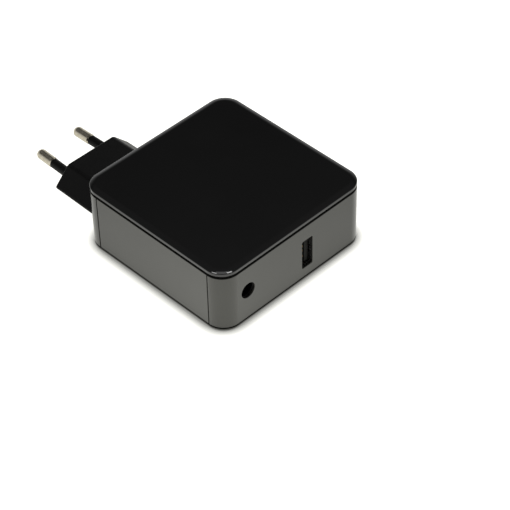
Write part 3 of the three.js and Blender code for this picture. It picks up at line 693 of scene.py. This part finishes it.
def neck():
    """The hexagonal neck, drafted, with its front edge rounded and its foot shaped to the frame."""
    front, foot, ease = NECK[1].y, 27.0, 0.6
    levels = [(0, foot)]
    for i in range(7):
        t = i / 6 * math.pi / 2
        levels.append((ease * (1 - math.cos(t)), front - ease + ease * math.sin(t)))
    rings = []
    for inset, y in levels:
        widen = 1 + NECK_DRAFT * (front - y) / NECK_LENGTH
        outline = shrink(hexagon(), inset) if inset else hexagon()
        rings.append([(NECK_AT[0] + a * widen, y, NECK_AT[1] + b * widen) for a, b in outline])
    body = loft("neck", rings)
    space = FRAME["side"] + 0.3
    outline = rounded(space, space, FRAME["corner"] + 0.15, 16)
    body = boolean(body, prism("frame_space", outline, "Z", -1, 30))
    root = prism("root", rounded(26, 10.4, 1.3, 6, NECK_AT), "Y", 29.5, 34)
    body = boolean(body, root, "UNION")
    narrow, wide, ledge = SHANK_RADIUS + 0.1, SLEEVE_RADIUS + 0.1, SLEEVE_TAIL - 0.1
    profile = ((0, -40), (narrow, -40), (narrow, ledge), (wide, ledge), (wide, 5), (0, 5))
    for side in (-1, 1):
        hole = turned("pin_room", profile)
        body = boolean(body, placed(hole, pin_matrix(side)))
    return finished(body, "black_plastic", "plug_neck", angle=24)


def pin(node, side):
    """A turned pin: a slim shank, then the bare end with a chamfered shoulder and a domed nose."""
    shoulder, nose = PIN_LENGTH - PIN_BARE, 12
    profile = [(0, PIN_TAIL), (1.2, PIN_TAIL), (SHANK_RADIUS, PIN_TAIL + 0.2), (SHANK_RADIUS, shoulder)]
    profile += [(1.5, shoulder), (PIN_RADIUS, shoulder + 0.5)]
    for i in range(nose):
        t = i / nose * math.pi / 2
        profile.append((PIN_RADIUS * math.cos(t), PIN_LENGTH - PIN_RADIUS * (1 - math.sin(t))))
    profile.append((0, PIN_LENGTH))
    made = placed(turned(node + "_metal", profile), pin_matrix(side))
    return finished(made, "nickel", node)


def pin_sleeve(node, side):
    """The black tube on a pin's root, its outer end edge softened."""
    end, inner = PIN_LENGTH - PIN_BARE - 0.06, 1.43
    profile = [(inner, SLEEVE_TAIL), (SLEEVE_RADIUS, SLEEVE_TAIL), (SLEEVE_RADIUS, end - 0.12)]
    profile += [(1.79, end - 0.03), (1.72, end), (inner, end), (inner, SLEEVE_TAIL)]
    made = placed(turned(node + "_moulding", profile), pin_matrix(side))
    return finished(made, "black_plastic", node)


# ---------------------------------------------------------------- inner frame

def inner_frame():
    """The black ring behind the trim, open for the two connectors and the neck's root."""
    low, high = limits("inner_frame")
    ring = hoop("frame_ring", *FRAME.values(), low.z, high.z, 16)
    left, right = JACK[0].x - SOCKET_GAP, JACK[1].x + SOCKET_GAP
    for cutter in (
        prism("shell_way", rounded(*PORT_ROOM, 0.7, 4, PORT), "Y", -40, -20),
        box("jack_way", (left, right), (-40, -20), (6.4, JACK[1].z + SOCKET_GAP)),
        prism("root_way", rounded(26.4, 10.8, 1.5, 6, NECK_AT), "Y", 20, 40),
    ):
        ring = boolean(ring, cutter)
    return finished(ring, "black_plastic", "inner_frame", bevel=0.12, segments=2)


# ---------------------------------------------------------------- USB port

MOUTH = SHELL[0].y
TONGUE = (PORT[0] + 0.05, PORT[0] + 1.89)
TONGUE_END = MOUTH + 9.8
PITCHES = (-3.5, -1, 1, 3.5)
# A shell spring's line: (inwards from the wall, y from the mouth)
LEAF_LINE = ((0, 8.2), (0.1, 6.6), (0.4, 3.8), (0.36, 3.2), (0, 2.6))


def smooth(points, steps=6):
    """A Catmull-Rom curve through 2-D points."""
    knots = [Vector(p) for p in points]
    knots = [2 * knots[0] - knots[1], *knots, 2 * knots[-1] - knots[-2]]
    curve = []
    for p0, p1, p2, p3 in zip(knots, knots[1:], knots[2:], knots[3:]):
        for i in range(steps):
            t = i / steps
            curve.append(tuple(0.5 * (
                2 * p1 + (p2 - p0) * t + (2 * p0 - 5 * p1 + 4 * p2 - p3) * t * t
                + (3 * p1 - p0 - 3 * p2 + p3) * t ** 3
            )))
    return curve + [tuple(points[-1])]


def leaf(name, line, thickness, axis, start, end):
    """A sprung strip of even thickness along a line, drawn out along an axis."""
    upper, lower = [], []
    for i, (a, b) in enumerate(line):
        before, after = Vector(line[max(i - 1, 0)]), Vector(line[min(i + 1, len(line) - 1)])
        along = (after - before).normalized()
        upper.append((a, b))
        lower.append((a + along.y * thickness, b - along.x * thickness))
    return prism(name, upper + lower[::-1], axis, start, end)


def usb_shell():
    """Folded sheet: a rounded tube, closed behind, with two sprung leaves in each wide wall."""
    end = SHELL[1].y
    shell = prism("shell_sheet", rounded(*PORT_SHELL, 0.7, 8, PORT), "Y", MOUTH, end, 0.1)
    inside = prism("shell_inside", rounded(*PORT_OPEN, 0.4, 8, PORT), "Y", MOUTH - 1, end - 0.3)
    shell = boolean(shell, inside)
    leaves = []
    for side in (-1, 1):
        wall = PORT[0] + side * 2.7
        for z in (PORT[1] - 3, PORT[1] + 3):
            across, along = (wall - 0.5, wall + 0.5), (MOUTH + 2.2, MOUTH + 8.0)
            shell = boolean(shell, box("window", across, along, (z - 1.3, z + 1.3)))
            line = smooth([(wall - side * inwards, MOUTH + y) for inwards, y in LEAF_LINE])
            leaves.append(leaf("leaf", line, 0.16, "Z", z - 0.9, z + 0.9))
    made = merged("usb_shell_sheet", [shell] + leaves)
    return finished(made, "steel", "usb_shell")


def usb_insulator():
    """The black moulding in the shell, with the tongue and its four grooves."""
    low, high = limits("usb_insulator")
    back = box("block", (low.x, high.x), (TONGUE_END, high.y), (low.z, high.z))
    tongue = box("tongue", TONGUE, (low.y, TONGUE_END + 0.5), (PORT[1] - 5.55, PORT[1] + 5.55))
    made = boolean(back, tongue, "UNION")
    for z in PITCHES:
        groove = box("groove", (TONGUE[0] - 3, TONGUE[0] + 1.35), (low.y + 0.7, TONGUE_END + 2.2),
                     (PORT[1] + z - 0.7, PORT[1] + z + 0.7))
        made = boolean(made, groove)
    made.name = "usb_tongue"
    return finished(made, "socket_plastic", "usb_insulator", bevel=0.14)


def usb_contact(number, z):
    """A gilt strip that lies in its groove and bows out of the tongue's face near its free end."""
    face, free, root = TONGUE[0] + 0.12, MOUTH + 1.8, TONGUE_END + 1.2
    bow = smooth([(face + 0.35, free), (face - 0.4, free + 1.3), (face - 0.45, free + 1.7),
                  (face - 0.4, free + 2.1), (face, free + 3.6), (face, free + 5)])
    line = bow + [(face, root - 0.2), (face, root + 0.25)]
    low, high = PORT[1] + z - 0.5, PORT[1] + z + 0.5
    strip = leaf(f"contact_{number}_strip", line[::-1], 0.25, "Z", low, high)
    foot = box("foot", (face, TONGUE[0] + 1.3), (root, root + 0.25), (low, high))
    made = boolean(strip, foot, "UNION")
    node = f"usb_contact_{number}"
    return finished(made, "gold_contact", node, body=node, bevel=0.035, segments=2)


# ---------------------------------------------------------------- DC power socket

def dc_jack():
    """The socket's block with a lead-in round its bore, its centre pin, and its sprung leaf in a slot."""
    low, high = JACK
    x, z = SOCKET
    outline = rounded(high.x - low.x, high.z - low.z, 0.5, 5, (x, (low.z + high.z) / 2))
    body = prism("jack_block", outline, "Y", low.y, high.y, 0.25)
    mouth = low.y
    lead_in, bottom = SOCKET_BORE + 0.45, mouth + 10.5
    profile = [(0, mouth - 1), (lead_in, mouth - 1), (lead_in, mouth)]
    profile += [(SOCKET_BORE, mouth + 0.4), (SOCKET_BORE, bottom), (0, bottom)]
    body = boolean(body, placed(turned("bore", profile, 64), at(x, 0, z)))
    slot = box("slot", (x - 1.45, x + 1.45), (mouth + 1.6, mouth + 11.7), (z - 5.3, z - 1))
    body = boolean(body, slot)
    body = boolean(body, cylinder_y("pin_way", 1.05, x, z, mouth + 9.5, mouth + 15, 32))
    finished(body, "black_plastic", "dc_jack_body")

    tip, end = JACK_PIN[0].y, JACK_PIN[1].y
    profile = [(0, tip)]
    for i in range(9):
        t = i / 8 * math.pi / 2
        profile.append((0.5 + 0.5 * math.sin(t), tip + 0.5 - 0.5 * math.cos(t)))
    profile += [(1.0, end - 0.1), (0.9, end), (0, end)]
    finished(placed(turned("jack_pin_metal", profile, 40), at(x, 0, z)), "nickel", "dc_jack_centre_pin")

    root, low_z = mouth + 10.2, z - 3.55
    bow = smooth([(mouth + 2.6, low_z), (mouth + 4.6, low_z + 0.9), (mouth + 5.3, low_z + 1.0),
                  (mouth + 6.0, low_z + 0.93), (root, low_z), (root + 1, low_z)])
    strip = leaf("jack_leaf", bow, 0.35, "X", x - 1.2, x + 1.2)
    foot = box("foot", (x - 1.2, x + 1.2), (root + 0.65, root + 1), (z - 5.25, low_z - 0.1))
    made = boolean(strip, foot, "UNION")
    finished(made, "nickel", "dc_jack_spring", body="dc_jack_spring", bevel=0.06, segments=2)


# ---------------------------------------------------------------- assembly

lid()
base()
label()
front_band()
rear_band()
side_panel("left_panel")
side_panel("right_panel")
inner_frame()
neck()
for name, side in (("live", -1), ("neutral", 1)):
    pin(name + "_pin", side)
    pin_sleeve(name + "_pin_sleeve", side)
usb_shell()
usb_insulator()
for number, z in enumerate(PITCHES, 1):
    usb_contact(number, z)
dc_jack()

# The CAD nodes keep their meshes and get a better material.
slot_of = {row["node"]: row["material_slot"] for row in frame["record"]["subparts"]}
for name, node in frame["nodes"].items():
    look = LOOK[slot_of[name]]
    if node.data.materials:
        for slot in node.material_slots:
            slot.material = look
    else:
        node.data.materials.append(look)


# ---------------------------------------------------------------- studio

def light_table():
    """The floor: a glowing white table, its glow painted brighter round the housing, with a narrow
    painted contact shadow on what the camera sees.
    """
    floor = loft("floor", [[(x, y, z) for x, y in rounded(6000, 6000, 600, 8)] for z in (-4.0, -0.02)])
    s = Shader("light_table", 0.9, specular=0.0)
    s.relief((s.noise(0.8, 3), 4.0))
    s.set("Emission Color", (1, 1, 0.94, 1))
    # Painted contact shadow: ambient occlusion within 5 mm darkens the emission and the base colour,
    # fully for camera rays and a quarter as much for other rays.
    near = s.add("ShaderNodeAmbientOcclusion")
    near.samples = 16
    near.inputs["Distance"].default_value = 5.0 * MM
    shadow = s.spread(near.outputs["AO"], 0.81, 0.0, 0.5, 0.95)
    straight = s.add("ShaderNodeLightPath").outputs["Is Camera Ray"]
    lit = s.spread(s.times(shadow, s.spread(straight, 0.25, 1.0, 0.0, 1.0)), 1.0, 0.0, 0.0, 1.0)
    away = s.add("ShaderNodeVectorMath", operation="DISTANCE")
    away.inputs[1].default_value = (-45 * MM, -45 * MM, 0)
    s.link(s.place, away.inputs[0])
    # Painted pool of light: the glow that other rays see is brightest round a point in front of the
    # housing's front corner and fades over 9 cm. Camera rays see an even 1.08.
    painted_glow_pool = s.spread(away.outputs["Value"], 1.27, 0.76, 0.0, 0.09)
    shown = s.add("ShaderNodeMix", data_type="FLOAT")
    shown.inputs["B"].default_value = 1.08
    s.link(straight, shown.inputs["Factor"])
    s.link(painted_glow_pool, shown.inputs["A"])
    s.link(s.times(shown.outputs["Result"], lit), s.shader.inputs["Emission Strength"])
    s.link(s.spread(lit, 0.02, 0.8, 0.0, 1.0), s.shader.inputs["Base Color"])
    floor.data.materials.append(s.material)


# The room round the table: (height of a direction, 0 at the horizon and 1 overhead, grey level)
ROOM = (
    (0.0, 0.90), (0.28, 0.93), (0.36, 0.70), (0.50, 0.25),
    (0.60, 0.07), (0.64, 0.07), (0.70, 0.12), (0.9, 0.16),
)


def room():
    """Pale near the table and dim overhead."""
    world = bpy.data.worlds.new("studio")
    bpy.context.scene.world = world
    world.use_nodes = True
    tree = world.node_tree
    way = tree.nodes.new("ShaderNodeTexCoord")
    split = tree.nodes.new("ShaderNodeSeparateXYZ")
    ramp = tree.nodes.new("ShaderNodeValToRGB")
    tree.links.new(way.outputs["Generated"], split.inputs["Vector"])
    tree.links.new(split.outputs["Z"], ramp.inputs["Fac"])
    tree.links.new(ramp.outputs["Color"], tree.nodes["Background"].inputs["Color"])
    levels = ramp.color_ramp.elements
    levels[0].position, levels[1].position = ROOM[0][0], ROOM[-1][0]
    for height, _ in ROOM[1:-1]:
        levels.new(height)
    for level, (_, grey) in zip(levels, ROOM):
        level.color = (grey, grey, grey, 1)


def softbox(name, azimuth, elevation, size, power, distance=1.6):
    """A square soft light, size and distance in metres, aimed at the origin."""
    data = bpy.data.lights.new(name, "AREA")
    data.shape = "RECTANGLE"
    data.size = data.size_y = size
    data.energy = power
    light = bpy.data.objects.new(name, data)
    a, e = math.radians(azimuth), math.radians(elevation)
    way = Vector((math.sin(a) * math.cos(e), -math.cos(a) * math.cos(e), math.sin(e)))
    light.location = way * distance
    light.rotation_mode = "QUATERNION"
    light.rotation_quaternion = (-way).to_track_quat("-Z", "Y")
    bpy.context.scene.collection.objects.link(light)


light_table()
room()
softbox("overhead", 136, 82, 0.5, 1.0)
softbox("left", -150, 74, 0.26, 2.0)
softbox("right", 76, 76, 0.26, 2.1)

view = bpy.context.scene.view_settings
view.view_transform = "Standard"
view.look = "None"
view.exposure = 0
view.gamma = 1
